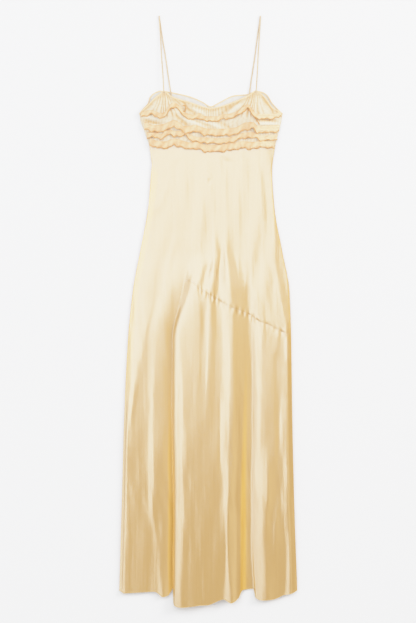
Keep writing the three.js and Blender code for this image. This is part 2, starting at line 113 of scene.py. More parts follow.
# The rows are the solids', with one level more at y = 240. From the left brink to the brow of the middle
# lobe they lie up to 6.5 mm further left and 2.4 mm higher than in the solids, as the photo shows them.
LEVELS = np.array([WAIST_Y, 240, 151, 51, -74, -274, -474, -600, -706])
FOLDS = [  # hem, x at each level, z at each level: a row for each line down the skirt
    # left rounding
    (-703, (-138, -152, -161, -180, -194, -206, -211, -214, -217),
     (5.2, 5.5, 6, 7.2, 7.5, 8, 8.5, 8.5, 8)),
    # left shoulder
    (-706, (-128, -142, -145.5, -145.5, -163, -199.5, -204.5, -208, -209.5),
     (5.5, 5.6, 6.8, 9.5, 12.5, 12.4, 12.4, 12.4, 12)),
    # left dip
    (-702, (-110.5, -117, -120.5, -125.5, -150, -155, -153, -139, -136),
     (5, 5.4, 6, 8.5, 11, 8.8, 8.6, 9.6, 9)),
    # left crest
    (-715, (-90.5, -96.5, -100.5, -108, -131, -134, -137, -119, -114),
     (5, 5.5, 6.2, 10, 13.5, 14.2, 13.6, 11, 13.4)),
    # left brink
    (-712, (-73, -76, -78, -87, -102.5, -102, -100, -100, -101),
     (5, 5.4, 5.8, 9.8, 9.6, 8, 8, 8, 9)),
    # left valley
    (-694, (-55.5, -51, -50, -66, -90, -91, -87.5, -88, -88.5),
     (5, 5.4, 5.6, 7.5, 5.4, 4.8, 4.8, 5.2, 5.6)),
    # middle lobe, foot
    (-730, (-48, -43, -43, -60, -88, -88.5, -85.5, -86, -86.5),
     (5, 5.4, 5.8, 9.5, 9.5, 9, 9.5, 10, 11)),
    # middle lobe, flank
    (-737, (-40.5, -33, -33, -52, -84, -84.5, -81.5, -82, -83),
     (5, 5.5, 6.4, 13, 14, 15.5, 16, 17, 18.5)),
    # middle lobe, brow
    (-740, (-30.5, -19.5, -17, -29, -42, -54, -60.5, -62, -64),
     (5, 5.5, 7, 20.5, 21.5, 22, 22, 22.5, 23.5)),
    # first dip
    (-735, (-8, 5, 8, -7, -8, -15.5, -20.5, -20.5, -20.5),
     (5, 5.4, 6, 15.5, 17, 19.4, 20.6, 21, 21.5)),
    # first crest
    (-734, (4.5, 14.5, 17, 8, 4.5, -0.5, -0.5, -0.5, -0.5),
     (5, 5.6, 8.4, 19.8, 21, 20.2, 20.2, 20.4, 21)),
    # second dip
    (-720, (19.5, 27, 29, 26, 29.5, 28, 35.5, 42, 37),
     (5, 5.4, 5.2, 12, 13.8, 15.6, 17.6, 19.4, 19)),
    # second crest
    (-729, (34.5, 42, 46, 52, 55, 53.5, 49.5, 50, 57),
     (5, 5.7, 8.8, 20, 22, 22.2, 22, 20.6, 22.5)),
    # second crest, brink
    (-718, (49.5, 57, 62, 71, 75, 73.5, 70, 70, 74.5),
     (5, 5.4, 6, 13.2, 15.4, 16, 16, 16, 16.5)),
    # right valley
    (-699, (62, 69, 74, 86, 93, 90, 86, 86, 86),
     (5, 5.4, 5.6, 9.4, 10.6, 8.5, 7.5, 7, 7)),
    # right valley, far side
    (-695, (74.5, 78.5, 82, 97, 107, 108, 105, 107, 113),
     (5, 5.4, 5.6, 7.4, 6.5, 3.6, 3.4, 3.4, 3.4)),
    # right lobe, foot
    (-717, (87, 91.5, 94.5, 107, 114.5, 115, 113, 114, 119),
     (5, 5.4, 6, 8.4, 8.5, 6.8, 6.8, 7, 9)),
    # right lobe, brow
    (-723, (102, 108, 112, 122, 133, 138, 136, 136, 137),
     (5, 5.5, 7, 10.5, 14.5, 15, 15.2, 15.5, 16.5)),
    # right slope
    (-721, (117, 128, 134.5, 147, 154.5, 159.5, 159.5, 161, 162),
     (5, 5.5, 6.5, 9.8, 13, 13.8, 13.8, 14, 14.5)),
    # right dip
    (-710, (129.5, 142, 149.5, 164.5, 179, 179, 181, 192, 189.5),
     (5, 5.4, 6, 9, 11.5, 11.6, 11.6, 12.2, 11.5)),
    # right crest
    (-707, (142, 154.5, 162, 177, 195.5, 197, 198, 204, 205.5),
     (5.2, 5.5, 6.5, 9.5, 14, 14.8, 14.4, 13.6, 15)),
    # right shoulder
    (-704, (154.5, 165.5, 173, 189.5, 202, 204.5, 207, 211, 214.5),
     (4.6, 5, 5.4, 7.6, 10.4, 10.8, 10.8, 10.6, 9.6)),
]
LEFT_VALLEY_ROW, RIGHT_VALLEY_ROW = 5, 14  # rows of FOLDS
RIM_LINES = 2  # lines at each side that FOLDS has no row for
SIDE_HEM = -699
LEFT_VALLEY = float(LEFT_VALLEY_ROW + RIM_LINES)  # the line where the inset starts
LAST_LINE = len(FOLDS) + 2 * RIM_LINES - 1
line_index = np.arange(LAST_LINE + 1, dtype=float)
fold_x = [smooth_line(LEVELS, f[1]) for f in FOLDS]
fold_z = [smooth_line(LEVELS, f[2]) for f in FOLDS]
side_hems = [SIDE_HEM] * RIM_LINES
hem_at = smooth_line(line_index, side_hems + [f[0] for f in FOLDS] + side_hems)


def across(values, u):
    """Interpolates values[..., line] at line number u[...]."""
    m = tangents(line_index, values)
    i = np.clip(np.floor(u).astype(int), 0, LAST_LINE - 1)
    take = lambda a, k: np.take_along_axis(a, k[..., None], axis=-1)[..., 0]
    return hermite(i, i + 1, take(values, i), take(values, i + 1), take(m, i), take(m, i + 1), u)


SOFT_REACH, SOFT_SHARE = 0.45, 0.6  # how many lines away the heights come from that soften each one


def skirt_surface(u, y):
    """x and z of the plain skirt front on line u at height y."""
    u, y = np.broadcast_arrays(np.asarray(u, float), np.asarray(y, float))
    left, right = left_at(y), right_at(y)
    xs = [left + RIM_IN, left] + [f(y) for f in fold_x] + [right, right - RIM_IN]
    zs = [f(y) for f in fold_z]
    rim = np.full(y.shape, RIM_Z)
    zs = np.stack([rim, mix(RIM_Z, zs[0], 0.5)] + zs + [mix(RIM_Z, zs[-1], 0.5), rim], -1)
    height = lambda v: across(zs, np.clip(v, 0, LAST_LINE))
    beside = (height(u - SOFT_REACH) + height(u + SOFT_REACH)) / 2
    from_rim = np.clip(np.minimum(u, LAST_LINE - u) - 1, 0, 1)
    return across(np.stack(xs, -1), u), mix(height(u), beside, SOFT_SHARE * from_rim)


INSET_SEAM = [  # x, y
    (-45, 77), (-35.5, 70), (-13, 50), (12, 35), (64.5, 6), (105.5, -10),
    (127, -25), (155.5, -36), (180.5, -50), (208, -57.5),
]
inset_seam_y = smooth_line([p[0] for p in INSET_SEAM], [p[1] for p in INSET_SEAM])
SEAM_START, SEAM_ROUNDS = 76.0, 12


def seam_at(u):
    """y of the slanting seam on line u: each round comes closer to where the two cross."""
    y = np.full(np.shape(u), SEAM_START)
    for _ in range(SEAM_ROUNDS):
        y = inset_seam_y(skirt_surface(u, y)[0])
    return y


# ---- creases laid over the folds: soft ridges and troughs from end to end ----
CREASES = [  # x and y of both ends, half width, height (a trough is negative)
    (26, 165, 12, 20, 5, 1.0),
    (34, 170, 27, 20, 6, -0.6),
    (42, 185, 48, 70, 7, 0.8),
    (94, 168, 93, 15, 5, 0.5),
    (110, 160, 109, 40, 4, 0.6),
    (118, 60, 124, -20, 5, 0.8),
    (168, 70, 170, -10, 4, 0.7),
    (28, 130, 27, 50, 5, -0.8),
    (1, 330, 6, 318, 5, -0.8),
    (30, 396, 74, 374, 6, 0.45),
    (22, 386, 60, 366, 5, -0.4),
    (-60, 390, -96, 372, 7, 0.4),
    (-100, 330, -128, 240, 9, 0.6),
    (-80, 200, -108, 60, 8, 0.7),
    (-178, -160, -198, -300, 5, 1.2),
    (-139, -440, -128, -580, 10, -0.6),
    (170, -46, 171, -120, 7, 1.1),
    (136, -34, 133, -100, 6, 0.5),
    (197, -50, 201, -150, 5, 1.3),
    (-12, 30, -14, -160, 7, -1.0),
    (-72, -120, -70, -500, 3, -0.6),
    (1, 130, -19, 30, 8, -1.7),
    (-24, -110, -31, -260, 5, 0.6),
    (30, -220, 26, -420, 5, -1.0),
    (150, -330, 146, -560, 6, 1.0),
    (176, -200, 176, -420, 5, -0.9),
    (172, -470, 166, -640, 5, 0.9),
    (118, 320, 136, 220, 8, 0.5),
    (140, 370, 148, 250, 7, -0.5),
    (-20, 300, -14, 170, 10, 0.5),
    (-48, 330, -38, 190, 9, -0.5),
]
WANDER = 0.25  # how far a crease strays from its line, in half widths
FADE_IN, FADE_OUT = (-0.08, 0.3), (1.08, 0.6)  # parts of its length over which it rises and dies away


def fold_height(rows, x, y):
    """Height of the soft ridges and troughs in the rows, fading at their ends."""
    z = np.zeros(np.shape(x))
    for x0, y0, x1, y1, width, height in rows:
        dx, dy = x1 - x0, y1 - y0
        length = math.hypot(dx, dy)
        along = ((x - x0) * dx + (y - y0) * dy) / length**2
        wander = WANDER * width * np.sin(5.0 * along + x0)
        off = ((x - x0) * dy - (y - y0) * dx) / length + wander
        ends = smoothstep(*FADE_IN, along) * smoothstep(*FADE_OUT, along)
        z = z + height * bump(off, width) * ends
    return z


RIPPLES = [  # wavelength across and along, height, phase, lean
    (31, 420, 0.16, 0.4, 0.12), (47, 610, 0.22, 2.1, -0.09), (22, 300, 0.07, 4.0, 0.2),
    (73, 500, 0.25, 1.0, -0.15), (15.5, 260, 0.035, 5.2, 0.05),
]
RIPPLE_SWAY = 1.7
RIPPLE_GROW = 80  # length below the waist over which they reach their height


def ripple_height(x, y):
    """Height of long shallow ripples all over the skirt."""
    z = np.zeros(np.shape(x))
    for wide, tall, height, phase, lean in RIPPLES:
        swing = np.sin(2 * math.pi * y / tall + phase)
        z = z + height * np.sin(2 * math.pi * (x + lean * y) / wide + RIPPLE_SWAY * swing + phase)
    return z * smoothstep(WAIST_Y, WAIST_Y - RIPPLE_GROW, y)


PUCKER_PITCH, PUCKER_HEIGHT, PUCKER_REACH = 12.5, 1.5, 8
SEAM_GROOVE = 1.8  # half width of the groove that the stitches pull down


def pucker_height(x, y):
    """Small gathers that the thread pulls up on both sides of the slanting seam."""
    off = y - inset_seam_y(x)
    beat = 0.55 + 0.45 * np.sin(0.047 * x + 0.8) * np.sin(0.019 * x + 2.0)
    wave = np.sin(2 * math.pi * (x / PUCKER_PITCH + 0.35 * np.sin(0.05 * x)))
    inside = smoothstep(-46, -34, x)
    pull = np.sin(x / 5.3 + 2.1 * np.sin(x / 19)) * np.sin(x / 29 + 0.4)
    stitched = 0.25 + 0.45 * smoothstep(-0.2, 0.9, pull)
    puckers = PUCKER_HEIGHT * beat * wave * bump(off + 2, PUCKER_REACH)
    return inside * (puckers - stitched * bump(off, SEAM_GROOVE))


SIDE_PITCH, SIDE_HEIGHT, SIDE_IN, SIDE_REACH = 34, 0.08, 8, 14


def side_wave(x, y):
    """Fine pull lines that run in from both side seams."""
    edge = np.minimum(x - left_at(y), right_at(y) - x)
    wave = np.sin(2 * math.pi * y / SIDE_PITCH + 1.3 * np.sin(y / 61.0))
    return SIDE_HEIGHT * wave * bump(edge - SIDE_IN, SIDE_REACH)


SIDE_FADE, WAIST_FADE = 10, 14  # widths over which the drape dies away at the sides and the waist


def drape(x, y):
    """Height of everything that is laid over the folds."""
    fade = smoothstep(0, SIDE_FADE, np.minimum(x - left_at(y), right_at(y) - x))
    hold = smoothstep(WAIST_Y, WAIST_Y - WAIST_FADE, y)
    inner = fold_height(CREASES, x, y) + ripple_height(x, y) + pucker_height(x, y)
    return fade * hold * inner + side_wave(x, y) * hold * fade


# ---- meshes ----
SHARP_EDGE = math.radians(55)


def grid_normals(p):
    """The upward normal at each point of the grid p[row, column]."""
    down = np.gradient(p, axis=0)
    right = np.gradient(p, axis=1)
    n = np.cross(down, right)
    return n / np.maximum(np.linalg.norm(n, axis=-1, keepdims=True), 1e-9)


def mesh_object(name, points, quads, uvs=None, shade=None):
    """A smooth mesh from points in millimetres, linked to the scene."""
    mesh = bpy.data.meshes.new(name)
    mesh.from_pydata((points * MM).tolist(), [], quads)
    if uvs is not None:
        layer = mesh.uv_layers.new(name="cloth")
        loops = np.fromiter((v for q in quads for v in q), int)
        layer.data.foreach_set("uv", uvs[loops].ravel())
    if shade is not None:
        mesh.attributes.new("shade", "FLOAT", "POINT").data.foreach_set("value", shade)
    mesh.polygons.foreach_set("use_smooth", [True] * len(mesh.polygons))
    mesh.set_sharp_from_angle(angle=SHARP_EDGE)
    mesh.update()
    obj = bpy.data.objects.new(name, mesh)
    bpy.context.scene.collection.objects.link(obj)
    return obj


def shell(name, face, keep=None, thick=SATIN_THICK, flat_under=False, shade=None):
    """A closed cloth wall under the grid of points face[row, column]. keep says which cells are cloth."""
    rows, columns = face.shape[:2]
    if flat_under:
        back = face.copy()
        back[..., 2] = 0.0
    else:
        back = face - grid_normals(face) * thick
        back[..., 2] = np.maximum(back[..., 2], FRONT_FLOOR)
    cells = np.ones((rows - 1, columns - 1), bool) if keep is None else keep
    idx = np.arange(rows * columns).reshape(rows, columns)
    n = rows * columns
    a, b, c, d = idx[:-1, :-1], idx[1:, :-1], idx[1:, 1:], idx[:-1, 1:]
    quads = np.stack([a, b, c, d], -1)[cells]
    under = np.stack([a, d, c, b], -1)[cells] + n
    padded = np.pad(cells, 1)
    rims = []
    for near, v0, v1 in (
        (padded[:-2, 1:-1], d, a), (padded[2:, 1:-1], b, c),
        (padded[1:-1, :-2], a, b), (padded[1:-1, 2:], c, d),
    ):
        edge = cells & ~near
        e0, e1 = v0[edge], v1[edge]
        rims.append(np.stack([e1, e0, e0 + n, e1 + n], -1))
    every = np.concatenate([quads, under, *rims])
    used, remapped = np.unique(every, return_inverse=True)
    points = np.concatenate([face.reshape(-1, 3), back.reshape(-1, 3)])
    rest = points[:, :2] * MM
    tone = None if shade is None else np.tile(np.broadcast_to(shade, face.shape[:2]).ravel(), 2)[used]
    return mesh_object(name, points[used], remapped.reshape(-1, 4).tolist(), rest[used], tone)


def tube(name, path, across_mm, thick_mm, sides=12, level=True):
    """A closed rounded tube along path: across_mm lies level and thick_mm upright, or the other way round."""
    path = np.asarray(path, float)
    ahead = np.gradient(path, axis=0)
    ahead /= np.linalg.norm(ahead, axis=1, keepdims=True)
    ref = np.array([1.0, 0, 0]) if level else np.array([0, 0, 1.0])
    side = ref - ahead * (ahead @ ref)[:, None]
    side /= np.linalg.norm(side, axis=1, keepdims=True)
    up = np.cross(side, ahead)
    angle = 2 * math.pi * np.arange(sides) / sides
    w = np.broadcast_to(np.asarray(across_mm, float), len(path))[:, None, None]
    h = np.broadcast_to(np.asarray(thick_mm, float), len(path))[:, None, None]
    ring = (path[:, None] + side[:, None] * (0.5 * w * np.cos(angle)[None, :, None])
            + up[:, None] * (0.5 * h * np.sin(angle)[None, :, None]))
    n, m = ring.shape[:2]
    idx = np.arange(n * m).reshape(n, m)
    nxt = np.roll(idx, -1, axis=1)
    quads = np.stack([idx[:-1], idx[1:], nxt[1:], nxt[:-1]], -1).reshape(-1, 4).tolist()
    quads += [idx[0].tolist(), idx[-1][::-1].tolist()]
    return mesh_object(name, ring.reshape(-1, 3), quads)


# ---- skirt ----
STEPS = 10  # columns between two fold lines
UPPER_ROWS, LOWER_ROWS = 84, 130  # above and below the slanting seam
FRONT_GAP = 0.012  # from each front piece to the line that parts them, in lines
LEFT_ROLL, RIGHT_ROLL = (1.6, 11), (0.9, 8)  # how deep and how wide the sides roll under
ROLL_GROW = 30  # length below the waist over which they start to


def skirt_points(u, y):
    """Points of the draped skirt front on line u at height y."""
    x, z = skirt_surface(u, y)
    inside = np.clip(np.minimum(u, LAST_LINE - u), 0, 1)
    left = LEFT_ROLL[0] * bump(x - left_at(y), LEFT_ROLL[1])
    right = RIGHT_ROLL[0] * bump(right_at(y) - x, RIGHT_ROLL[1]) * smoothstep(-60, -200, y)
    roll = (left + right) * inside * smoothstep(WAIST_Y, WAIST_Y - ROLL_GROW, y)
    return np.stack([x, y, z + drape(x, y) - roll], -1)


# Painted shade and painted warm reflection in the fold valleys, where the satin blends to its deep gold.
PAINTED_VALLEY_SHADES = [  # row of FOLDS, how far right of it, half width, strength, heights from none to full
    (LEFT_VALLEY_ROW, -4, 17, 1.0, (13.0, 5.0)),
    (RIGHT_VALLEY_ROW, 9, 22, 0.35, (11.0, 5.0)),
    (RIGHT_VALLEY_ROW, 2, 10, 0.8, None),
]
# Painted shade along both sides, where the skirt turns down and away from the light.
PAINTED_SIDE_SHADES = [  # strength, and how far in it starts and is full: the left side, then the right
    (0.55, 34, 3),
    (0.4, 26, 2),
]


def skirt_painted_shade(points):
    """Painted shade on the skirt, from 0 to 1: deeper gold in the fold valleys and darker along both sides.
    """
    x, y, z = np.moveaxis(points, -1, 0)
    valley = np.zeros(x.shape)
    for row, right, width, strength, heights in PAINTED_VALLEY_SHADES:
        low = strength * (smoothstep(*heights, z) if heights else 1.0)
        valley = np.maximum(valley, low * bump(x - fold_x[row](y) - right, width))
    valley = valley * np.clip(0.3 - (y + 60) / 620, 0, 1)  # the painted shade grows deeper towards the hem
    side = 0
    for (strength, start, full), inward in zip(PAINTED_SIDE_SHADES, (x - left_at(y), right_at(y) - x)):
        side = side + strength * smoothstep(start, full, inward)
    return np.maximum(valley, side * smoothstep(-420, -120, y) * smoothstep(WAIST_Y, 330, y))


def skirt_front_main():
    """The main piece: down to the slanting seam, and left of the left valley down to the hem."""
    us = np.arange(int(LAST_LINE * STEPS) + 1) / STEPS
    seam = seam_at(np.maximum(us, LEFT_VALLEY)) + GAP / 2
    upper = mix(WAIST_Y - GAP, seam[None], np.linspace(0, 1, UPPER_ROWS + 1)[:, None])
    lower = mix(seam[None], hem_at(us)[None], np.linspace(0, 1, LOWER_ROWS + 1)[1:, None])
    y = np.concatenate([upper, lower])
    u = np.broadcast_to(us, y.shape).copy()
    u[UPPER_ROWS + 1:] = np.minimum(u[UPPER_ROWS + 1:], LEFT_VALLEY - FRONT_GAP)
    keep = np.ones((y.shape[0] - 1, y.shape[1] - 1), bool)
    keep[UPPER_ROWS:] = us[1:] <= LEFT_VALLEY
    points = skirt_points(u, y)
    return shell("front_main", points, keep, shade=skirt_painted_shade(points))


def skirt_front_inset():
    """The flared piece below the slanting seam."""
    us = np.arange(int(LEFT_VALLEY * STEPS), int(LAST_LINE * STEPS) + 1) / STEPS
    top = seam_at(us) - GAP / 2
    y = mix(top[None], hem_at(us)[None], np.linspace(0, 1, LOWER_ROWS + 1)[:, None])
    u = np.broadcast_to(np.maximum(us, LEFT_VALLEY + FRONT_GAP), y.shape)
    points = skirt_points(u, y)
    return shell("front_inset", points, shade=skirt_painted_shade(points))


BACK_HEM_SIDE, BACK_HEM_MIDDLE = -697, -690
BACK_ROWS, BACK_COLUMNS = 181, 91
BACK_WAVE = 0.25  # height of its shallow waves


def skirt_back():
    """The plain back panel, flat underneath."""
    t = np.linspace(0, 1, BACK_COLUMNS)
    hem = mix(BACK_HEM_SIDE, BACK_HEM_MIDDLE, np.sin(math.pi * t) ** 0.7)
    y = mix(WAIST_Y, hem[None], np.linspace(0, 1, BACK_ROWS)[:, None])
    x = mix(left_at(y), right_at(y), t[None])
    fade = smoothstep(0, 40, np.minimum(x - left_at(y), right_at(y) - x))
    wave = fade * np.sin(x / 23 + 1.5 * np.sin(y / 160)) * np.sin(y / 190 + 0.6)
    z = BACK_TOP - 0.3 + BACK_WAVE * wave
    return shell("back", np.stack([x, y, z], -1), flat_under=True)


# ---- bodice ----
NECKLINE = [  # x, front, back
    (-172.5, 494, 494), (-163, 504, 506.5), (-150, 515, 521), (-145.5, 520, 536),
    (-134, 532, 546.5), (-121, 542.5, 551.5), (-110, 550, 550.5), (-91, 536, 547.5),
    (-46, 522.5, 537), (-15, 512, 524), (6, 507.5, 512.5), (27, 511, 522),
    (66, 524, 540), (99, 538, 543), (119.5, 551, 550.5), (133, 543, 549),
    (147, 528, 541), (159, 510.5, 522), (172, 502, 507.5), (186, 494, 494),
]
front_neck = smooth_line([r[0] for r in NECKLINE], [r[1] for r in NECKLINE])
back_neck = smooth_line([r[0] for r in NECKLINE], [r[2] for r in NECKLINE])
CUPS = [(-104, 492, 42, 38), (104, 494, 42, 38)]  # x, y, half width, half height
PEAKS = [(-111, 566), (119, 567)]  # where the gathers of each cup run together
PRINCESS = (0.228, 0.76)  # where the cups meet the centre, as parts of the front's width
PRINCESS_GAP = 0.0006  # from there to each of them, as a part of the width


def bodice_height(x, y):
    """Height of the bodice front before its gathers."""
    from_side = np.clip(np.minimum(x - left_at(y), right_at(y) - x), 0, EDGE_ROUND)
    rounded = np.sqrt(np.maximum(1 - (1 - from_side / EDGE_ROUND) ** 2, 0))
    cups = np.maximum(*[CUP_HEIGHT * bump(x - cx, w) * bump(y - cy, h) for cx, cy, w, h in CUPS])
    return mix(RIM_Z, BODICE_LIE + cups, rounded)


def gather_ridge(phase):
    """A narrow crease, from 0 to 1, at every whole number of phase."""
    return 1 - np.abs(np.sin(math.pi * phase)) ** 0.7


BODICE_FOLDS = [  # x and y of both ends, half width, height: cloth drawn to and fro between the ruffles
    (-168, 478, -112, 468, 5, -1.5), (-166, 466, -116, 460, 4, 1.3), (-164, 486, -120, 480, 4, 1.0),
    (-88, 492, -38, 454, 5, -1.5), (-72, 492, -8, 458, 5, 1.4), (-46, 482, 24, 455, 5, -1.3),
    (-26, 478, 40, 457, 5, 1.0), (-104, 474, -62, 450, 5, 1.0), (20, 474, 66, 456, 5, -1.0),
    (114, 476, 180, 478, 4, -1.4), (112, 467, 180, 468, 4, 1.4), (112, 459, 178, 460, 4, -1.2),
    (-64, 512, -20, 486, 5, -1.1), (-40, 510, -4, 488, 4, 0.9), (64, 520, 26, 484, 5, -1.2),
    (82, 522, 44, 484, 4, 1.0), (94, 520, 66, 488, 4, -1.0),
]
FAN_CREASES = 6.4  # in each radian
FAN_START, FAN_END = (10, 34), (118, 72)  # distances from its peak over which a fan grows and dies away
FAN_FOOT = (476, 490)  # heights over which it grows
MIDDLE_PITCH, MIDDLE_X, MIDDLE_WIDTH, MIDDLE_STRENGTH = 9.4, 5, 60, 0.55
FINE_PITCH, FINE_STRENGTH = 8.3, 0.3
GATHER_LIFT, GATHER_DEPTH = 1.0, 1.3


def crease_lines(x, y):
    """How far each point lies in a gathered crease, from 0 to 1: they fan down from both straps."""
    lines = np.zeros(np.shape(x))
    for k, (px, py) in enumerate(PEAKS):
        angle = np.arctan2(x - px, py - y)
        distance = np.hypot(x - px, py - y)
        uneven = angle * FAN_CREASES + 0.5 * np.sin(angle * 5 + k) + 0.2 * np.sin(angle * 17 + 2 * k)
        uneven = uneven + 0.12 * np.sin(distance / 8 + 4 * angle)
        strength = 0.72 + 0.28 * np.sin(angle * 6.3 + 1.1 + 2 * k)
        reach = smoothstep(*FAN_START, distance) * smoothstep(*FAN_END, distance) * smoothstep(*FAN_FOOT, y)
        lines = np.maximum(lines, strength * reach * gather_ridge(uneven))
    uneven = x / MIDDLE_PITCH + 0.9 * np.sin(x / 17) + 0.006 * (x - MIDDLE_X) * (y - 470) / 10
    middle = MIDDLE_STRENGTH * bump(x - MIDDLE_X, MIDDLE_WIDTH) * smoothstep(474, 488, y)
    lines = np.maximum(lines, middle * gather_ridge(uneven))
    fine = gather_ridge(x / FINE_PITCH + 0.8 * np.sin(x / 23) + 0.3 * np.sin(y / 9))
    return np.maximum(lines, FINE_STRENGTH * smoothstep(496, 470, y) * fine)


def gather_height(x, y):
    """Height of the bodice's creases and of the loose folds between its ruffles."""
    return GATHER_LIFT + fold_height(BODICE_FOLDS, x, y) - GATHER_DEPTH * crease_lines(x, y)


def bodice_points(t, s, neck):
    """x and y at part t of the width and part s of the height, and how free the cloth is there."""
    x0 = mix(left_at(SIDE_Y), right_at(SIDE_Y), t)
    y = mix(WAIST_Y + GAP, neck(x0), s)
    x = mix(left_at(y), right_at(y), t)
    fade = smoothstep(0, 12, np.minimum(x - left_at(y), right_at(y) - x))
    return x, y, fade


BODICE_ROWS = 70
PLAIN_SHADE, CREASE_SHADE, RIDGE_SHADE, CASING_SHADE = 0.2, 0.5, 0.17, 0.16


def bodice_front(name, t0, t1, columns):
    """The gathered front from part t0 to part t1 of its width."""
    first = t0 + (PRINCESS_GAP if t0 > 0 else 0)
    last = t1 - (PRINCESS_GAP if t1 < 1 else 0)
    t = np.linspace(first, last, columns)[None]
    s = np.linspace(1, 0, BODICE_ROWS)[:, None]
    x, y, fade = bodice_points(t, s, front_neck)
    gathers = gather_height(x, y)
    casing = CASING_SHADE * smoothstep(0.86, 0.96, s)
    painted_fold_light = fold_height(BODICE_FOLDS, x, y)
    # Painted shade in the gathered creases, partly doubled cloth too, painted shade in the troughs and
    # painted light on the ridges of the loose folds.
    shade = PLAIN_SHADE + CREASE_SHADE * crease_lines(x, y) - RIDGE_SHADE * painted_fold_light + casing
    face = np.stack([x, y, bodice_height(x, y) + fade * gathers], -1)
    return shell(name, face, thick=CHIFFON_THICK, shade=shade)


SHEER_LIE, SHEER_ROWS, SHEER_COLUMNS = 0.85, 40, 240


def bodice_back():
    """The sheer back, flat underneath."""
    t, s = np.linspace(0, 1, SHEER_COLUMNS)[None], np.linspace(1, 0, SHEER_ROWS)[:, None]
    x, y, fade = bodice_points(t, s, back_neck)
    z = SHEER_LIE + 0.25 * fade * np.sin(x / 3.1 + 0.8 * np.sin(x / 11))
    return shell("bodice_back_sheer", np.stack([x, y, z], -1), flat_under=True)


# ---- ruffles ----
RUFFLE_EDGES = [  # x, then the height of the lower edge of the bust, second, third and waist ruffle
    (-168, 486, 457, 434, 417),
    (-154, 489, 454.5, 434, 417),
    (-142, 490.5, 449, 435.5, 414.5),
    (-130, 486, 447.5, 434, 409),
    (-119, 482, 449, 429, 408),
    (-108, 484.5, 451, 437.5, 407.5),
    (-96, 503, 456.5, 441, 411.5),
    (-86, 509.5, 460, 437, 414),
    (-72, 501, 454, 437.5, 412),
    (-59, 485, 445.5, 439.5, 407.5),
    (-46, 480.5, 446.5, 429.5, 405),
    (-34, 479, 449, 424, 407.5),
    (-22, 483, 445.5, 422, 403.5),
    (-6, 475, 440, 421, 399),
    (8, 475, 439.5, 420, 399),
    (22, 475, 439, 419, 399.5),
    (36, 480, 439, 419.5, 400),
    (53, 481.5, 440, 421.5, 402.5),
    (69, 486, 442, 426, 405),
    (80, 492.5, 447.5, 431, 407),
    (90, 500, 453, 432.5, 407.5),
    (98, 505, 454, 433.5, 407),
    (112, 489, 455, 434, 406),
    (123, 480, 446.5, 430.5, 408),
    (134, 480, 446, 426, 411),
    (156, 481, 447.5, 427.5, 408),
    (182, 487, 449, 429, 406),
]
RUFFLES = [  # name, ends, depth, lift
    ("ruffle_band_1", (-168, 182), 12, 2.2),
    ("ruffle_band_2", (-160, 178), 17, 3.0),
    ("ruffle_band_3", (-154, 173), 13, 2.4),
    ("ruffle_band_4", (-147, 166), 17, 2.2),
]
SEAT = 2.4  # height of a ruffle's sewn edge over the plain bodice
PLEAT_PITCH, PLEAT_HEIGHT = 7.5, 0.7
RUFFLE_ROWS, RUFFLE_COLUMNS = 16, 420
EDGE_TALL, EDGE_WIDE = 0.8, 2.3
TURN_TALL, TURN_WIDE, TURN_RISE = 1.6, 2.4, 1.6


def ruffle_points(k, x, down):
    """Points of ruffle k at x, with down from 0 at its sewn edge to 1 at its free edge."""
    _, _, depth, lift = RUFFLES[k]
    lower = smooth_line([r[0] for r in RUFFLE_EDGES], [r[k + 1] for r in RUFFLE_EDGES])
    small = (2.0 * np.sin(x / 4.3 + k) * np.sin(x / 19 + 2 * k)
             + 1.1 * np.sin(x / 2.6 + 3 * k + np.sin(x / 7)))
    y = lower(x) + depth * (1 - down) + small * down**2
    phase = x / 13.5 + 1.1 * np.sin(x / 37 + k) + k
    wave = 1.25 * np.sin(2 * math.pi * phase * 0.5) + 0.5 * np.sin(2 * math.pi * phase * 1.3 + k)
    fine = 0.07 * np.sin(x / 1.5 + 0.9 * np.sin(x / 5.0))
    at_sides = smoothstep(118, 134, x) + 0.6 * smoothstep(-138, -150, x)
    pleats = PLEAT_HEIGHT * np.sin(2 * math.pi * y / PLEAT_PITCH) * at_sides
    z = (bodice_height(x, np.maximum(y, WAIST_Y)) + SEAT + (lift + wave) * down + pleats
         + fine * (1 - 0.6 * down) - 0.9 * down**4)
    return np.stack(np.broadcast_arrays(x, y, z), -1)


def ruffle(k):
    """Ruffle k, with a shade that is deeper at both of its edges."""
    x = np.linspace(*RUFFLES[k][1], RUFFLE_COLUMNS)[None]
    down = np.linspace(0, 1, RUFFLE_ROWS)[:, None]
    crumple = 0.29 + 0.12 * np.sin(x / 9 + 1.5 * np.sin(x / 21 + k)) * np.sin(x / 3.7 + 3 * down + k)
    pale = 0.16 * smoothstep(112, 136, x)
    free_edge, sewn_edge = 0.14 * smoothstep(0.7, 1.0, down), 0.1 * smoothstep(0.25, 0.0, down)
    tone = crumple - pale + free_edge + sewn_edge
    return shell(RUFFLES[k][0], ruffle_points(k, x, down), thick=CHIFFON_THICK, shade=tone)


def ruffle_thread(k):
    """The overlocked edge of ruffle k, a little uneven."""
    first, last = RUFFLES[k][1]
    x = np.linspace(first + 0.4, last - 0.4, RUFFLE_COLUMNS)
    path = ruffle_points(k, x, np.ones(x.shape))
    path[:, 2] -= 0.1
    uneven = 1 + 0.35 * np.sin(x / 6.1 + 2 * k) * np.sin(x / 2.3 + k)
    return tube(RUFFLES[k][0] + "_edge", path, EDGE_TALL * uneven, EDGE_WIDE * uneven, sides=8, level=False)


EDGE_TURNS = [  # name, then points of x and y: where the bust ruffle's edge is turned back on itself
    ("ruffle_turn_right", [(98, 503), (104, 499), (112, 489), (120, 478), (128, 466)]),
    ("ruffle_turn_left", [(-64, 514), (-58, 513.5), (-56.5, 507), (-57.5, 500), (-61, 498), (-65, 501)]),
]


